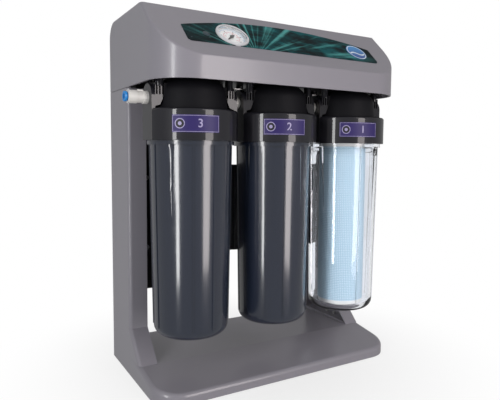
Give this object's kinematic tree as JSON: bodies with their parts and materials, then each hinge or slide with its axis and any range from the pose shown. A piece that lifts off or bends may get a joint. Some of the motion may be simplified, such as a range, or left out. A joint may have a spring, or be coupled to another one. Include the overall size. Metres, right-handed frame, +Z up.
{
  "type": "reverse osmosis unit",
  "caption": "Countertop reverse osmosis water filter: grey hood, columns and base around three hanging bowls with cartridges, bracket, pressure gauge and membrane in the hood",
  "frame": {"origin": "on the surface it stands on, midway across the case and midway between its back and the hood's front", "axes": "+Z up, +X to the right seen from the front, front towards -Y"},
  "size_m": [0.3987, 0.215, 0.49],
  "materials": {
    "case_grey": "fine satin",
    "rubber": "matt",
    "printed_panel": "printed, semi gloss",
    "badge": "gloss",
    "black_steel": "powder coat",
    "zinc": "zinc plated",
    "white_plastic": "satin",
    "black_plastic": "semi gloss",
    "blue_plastic": "gloss",
    "tube_white": "smooth",
    "chrome": "polished",
    "lens": "clear",
    "dial_white": "matt",
    "clear_bowl": "clear moulded",
    "dark_bowl": "gloss",
    "filter_fabric": "spun fibre",
    "carbon_block": "sintered carbon",
    "canister_white": "satin"
  },
  "bodies": {
    "frame": {"base_tray": "case_grey", "column_left": "case_grey", "column_right": "case_grey", "hood_cover": "case_grey", "rubber_feet": "rubber", "facia_panel": "printed_panel", "facia_badge": "badge", "bracket_top": "black_steel", "bracket_upright_left": "black_steel", "bracket_upright_right": "black_steel", "back_plate_left": "black_steel", "back_plate_right": "black_steel", "link_straps": "zinc", "case_screws": "zinc", "bracket_screws": "zinc", "nipple_3_2": "white_plastic", "nipple_2_1": "white_plastic", "outlet_fitting": "white_plastic", "elbow_fittings": "white_plastic", "feed_tee": "white_plastic", "bulkhead_unions": "white_plastic", "flow_restrictor": "white_plastic", "link_tubes": "tube_white", "product_tube": "tube_white", "gauge_tube": "tube_white", "membrane_housing": "white_plastic", "membrane_cap": "white_plastic", "membrane_element": "blue_plastic", "membrane_clips": "white_plastic", "post_filter": "white_plastic", "post_filter_clips": "white_plastic", "gauge_case": "chrome", "gauge_bezel": "chrome", "gauge_lens": "lens", "gauge_dial": "dial_white", "head_3": "black_plastic", "stage_label_3": "printed_panel", "head_2": "black_plastic", "stage_label_2": "printed_panel", "head_1": "black_plastic", "stage_label_1": "printed_panel"},
    "cartridge_3": {"cartridge_media_3": "canister_white", "cartridge_core_3": "white_plastic", "cartridge_caps_3": "white_plastic", "sump_o_ring_3": "rubber"},
    "sump_3": {"sump_3": "dark_bowl"},
    "cartridge_2": {"cartridge_media_2": "carbon_block", "cartridge_core_2": "white_plastic", "cartridge_caps_2": "white_plastic", "sump_o_ring_2": "rubber"},
    "sump_2": {"sump_2": "dark_bowl"},
    "cartridge_1": {"cartridge_media_1": "filter_fabric", "cartridge_core_1": "white_plastic", "cartridge_caps_1": "white_plastic", "sump_o_ring_1": "rubber"},
    "sump_1": {"sump_1": "clear_bowl"},
    "gauge_needle": {"gauge_needle": "black_plastic"},
    "outlet_collet": {"outlet_collet": "blue_plastic"}
  },
  "joints": [
    {"name": "sump_3_drop", "type": "slide", "parent": "frame", "child": "cartridge_3", "axis": [0, 0, -1], "range_m": [0, 0.02101]},
    {"name": "sump_3_turn", "type": "hinge", "parent": "cartridge_3", "child": "sump_3", "pos_m": [-0.125, -0.041, 0.2], "axis": [0, 0, -1], "range_deg": [0, 1260]},
    {"name": "sump_2_drop", "type": "slide", "parent": "frame", "child": "cartridge_2", "axis": [0, 0, -1], "range_m": [0, 0.02101]},
    {"name": "sump_2_turn", "type": "hinge", "parent": "cartridge_2", "child": "sump_2", "pos_m": [0, -0.041, 0.2], "axis": [0, 0, -1], "range_deg": [0, 1260]},
    {"name": "sump_1_drop", "type": "slide", "parent": "frame", "child": "cartridge_1", "axis": [0, 0, -1], "range_m": [0, 0.02101]},
    {"name": "sump_1_turn", "type": "hinge", "parent": "cartridge_1", "child": "sump_1", "pos_m": [0.125, -0.041, 0.2], "axis": [0, 0, -1], "range_deg": [0, 1260]},
    {"name": "gauge_needle_turn", "type": "hinge", "parent": "frame", "child": "gauge_needle", "pos_m": [-0.0828, -0.07284, 0.45428], "axis": [0, 0.6816, -0.7317], "range_deg": [0, 270]},
    {"name": "collet_release", "type": "slide", "parent": "frame", "child": "outlet_collet", "axis": [1, 0, 0], "range_m": [0, 0.0012]}
  ],
  "couplings": [
    {"joint": "sump_3_drop", "follows": "sump_3_turn", "m_per_rad": 0.00095493},
    {"joint": "sump_2_drop", "follows": "sump_2_turn", "m_per_rad": 0.00095493},
    {"joint": "sump_1_drop", "follows": "sump_1_turn", "m_per_rad": 0.00095493}
  ]
}
